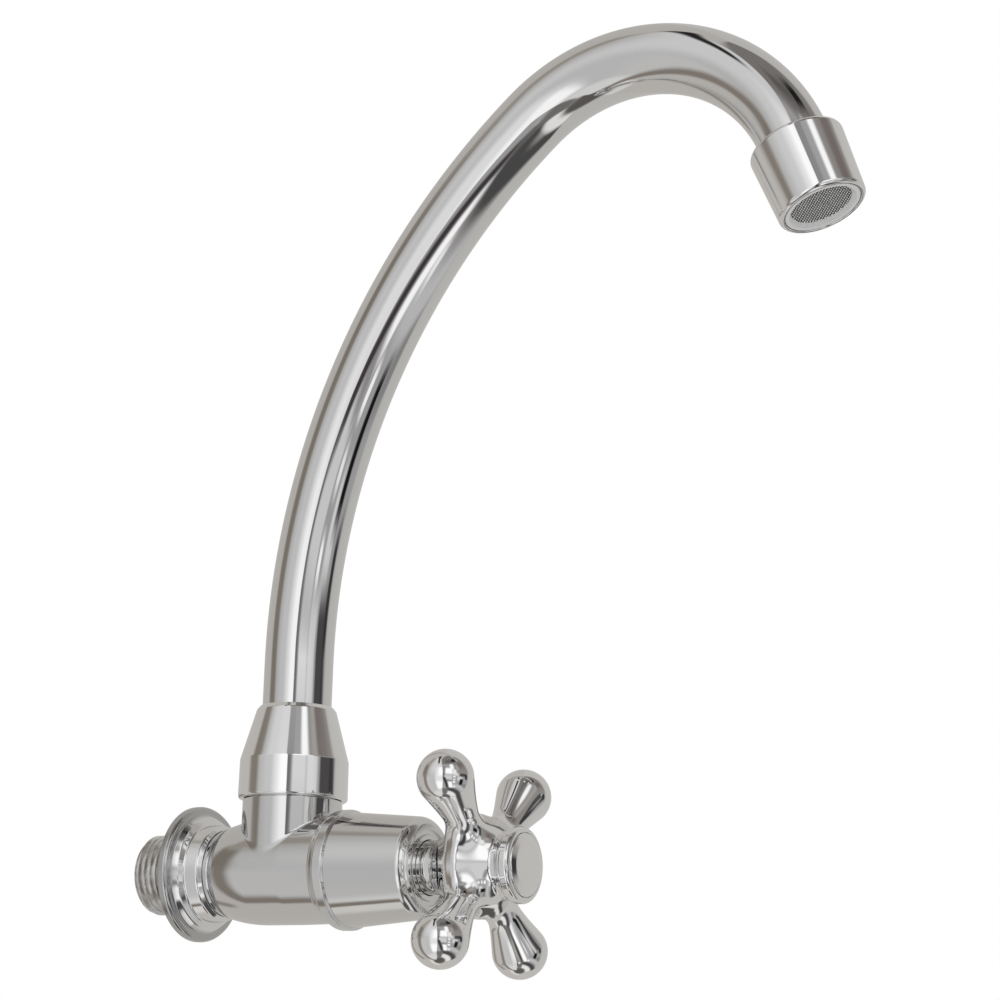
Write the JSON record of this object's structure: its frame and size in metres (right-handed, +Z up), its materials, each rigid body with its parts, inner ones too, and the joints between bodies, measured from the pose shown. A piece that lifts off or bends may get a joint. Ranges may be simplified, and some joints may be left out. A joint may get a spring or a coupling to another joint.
{
  "type": "wall tap",
  "caption": "Wall-mounted gooseneck tap: a chromed body with a wall flange and threaded inlet, a turning cross handle, a swivelling spout and a screw-on aerator.",
  "frame": {"origin": "on the tap body's axis, in the plane of the wall flange's back face", "axes": "+Z up along the spout's rise; +Y into the wall, along the threaded inlet; the tap stands out of the wall along -Y with its handle at the far end; +X to the right for someone facing the handle"},
  "size_m": [0.0528, 0.2013, 0.241],
  "materials": {
    "chrome": "polished chrome plate on brass",
    "chrome_body": "polished chrome plate, dull bare metal on the inlet thread",
    "brass": "turned",
    "steel": "bright zinc plate",
    "ceramic": "lapped alumina ceramic",
    "rubber": "moulded",
    "nylon": "moulded",
    "fibre": "pressed fibre",
    "cage_plastic": "moulded"
  },
  "bodies": {
    "tap_body": {"body_casting": "chrome_body", "wall_flange": "chrome", "seat_seal": "rubber", "fixed_disc": "ceramic", "headwork_body": "brass", "headwork_gasket": "fibre", "thrust_washer": "nylon", "bonnet_shroud": "chrome", "spout_nut": "chrome", "slip_ring": "nylon"},
    "handle": {"moving_disc": "ceramic", "spindle": "brass", "spindle_rings": "rubber", "spindle_clip": "steel", "cross_handle": "chrome", "handle_screw": "steel", "index_button": "chrome"},
    "spout": {"spout_foot": "brass", "spout_rings": "rubber", "spout_tube": "chrome", "outlet_bush": "brass", "aerator_shell": "chrome", "aerator_washer": "rubber", "aerator_cage": "cage_plastic", "aerator_screen": "steel", "jet_former": "nylon"}
  },
  "joints": [
    {"name": "handle_turn", "type": "hinge", "parent": "tap_body", "child": "handle", "pos_m": [0, -0.087, 0], "axis": [0, -1, 0], "range_deg": [0, 90]},
    {"name": "spout_swivel", "type": "hinge", "parent": "tap_body", "child": "spout", "pos_m": [0, -0.02925, 0.031], "axis": [0, 0, 1], "range_deg": [-95, 95]}
  ]
}
